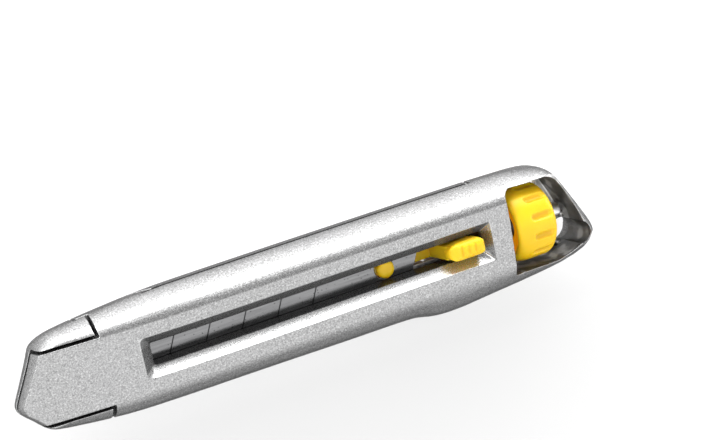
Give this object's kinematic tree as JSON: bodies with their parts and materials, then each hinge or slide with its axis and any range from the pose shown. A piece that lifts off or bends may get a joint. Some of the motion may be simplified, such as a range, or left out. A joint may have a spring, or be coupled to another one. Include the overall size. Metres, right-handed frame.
{
  "type": "utility knife",
  "caption": "Heavy-duty snap-off utility knife: a two-half cast metal handle with an 18 mm blade on a ratcheting thumb slider, clamped by a screw lock wheel in the tail.",
  "frame": {"origin": "centre of the footprint at the height of the lowest point, the rim of the lock wheel", "axes": "+X from the blade mouth toward the tail, +Y toward the spine of the handle, +Z out of the front face, where the thumb pad is"},
  "size_m": [0.1662, 0.0316, 0.0205],
  "materials": {
    "cast_paint": "fine-grained silver-grey paint over a die-cast surface, satin",
    "rack_metal": "bare, tumbled",
    "blade_steel": "ground and polished tool steel with score lines",
    "yellow_plastic": "moulded, glossy",
    "insert_brass": "turned",
    "washer_steel": "zinc-plated",
    "stud_steel": "blackened, oiled, with a bright turned end"
  },
  "bodies": {
    "front_half": {"front_shell": "cast_paint", "thrust_washer": "washer_steel"},
    "back_half": {"back_shell": "cast_paint", "rack_rail_spine_side": "rack_metal", "rack_rail_edge_side": "rack_metal", "lock_stud": "stud_steel", "stud_pin": "washer_steel"},
    "wheel": {"lock_wheel": "yellow_plastic", "wheel_insert": "insert_brass"},
    "blade": {"blade": "blade_steel"},
    "slider": {"slider": "yellow_plastic"}
  },
  "joints": [
    {"name": "lock_draw", "type": "slide", "parent": "front_half", "child": "back_half", "axis": [-1, 0, 0], "range_m": [0, 0.00075]},
    {"name": "wheel_turn", "type": "hinge", "parent": "front_half", "child": "wheel", "pos_m": [0.06248, 0.00103, 0.01025], "axis": [1, 0, 0], "range_deg": [0, 270]},
    {"name": "blade_slide", "type": "slide", "parent": "back_half", "child": "blade", "axis": [-1, 0, 0], "range_m": [0, 0.06072]},
    {"name": "thumb_press", "type": "hinge", "parent": "blade", "child": "slider", "pos_m": [0.02088, 0.00103, 0.0099], "axis": [0, 1, 0], "range_deg": [0, 5], "stiffness_Nm_per_rad": 0.2, "springref_deg": -5.73}
  ],
  "couplings": [
    {"joint": "wheel_turn", "follows": "lock_draw", "rad_per_m": 6283}
  ]
}
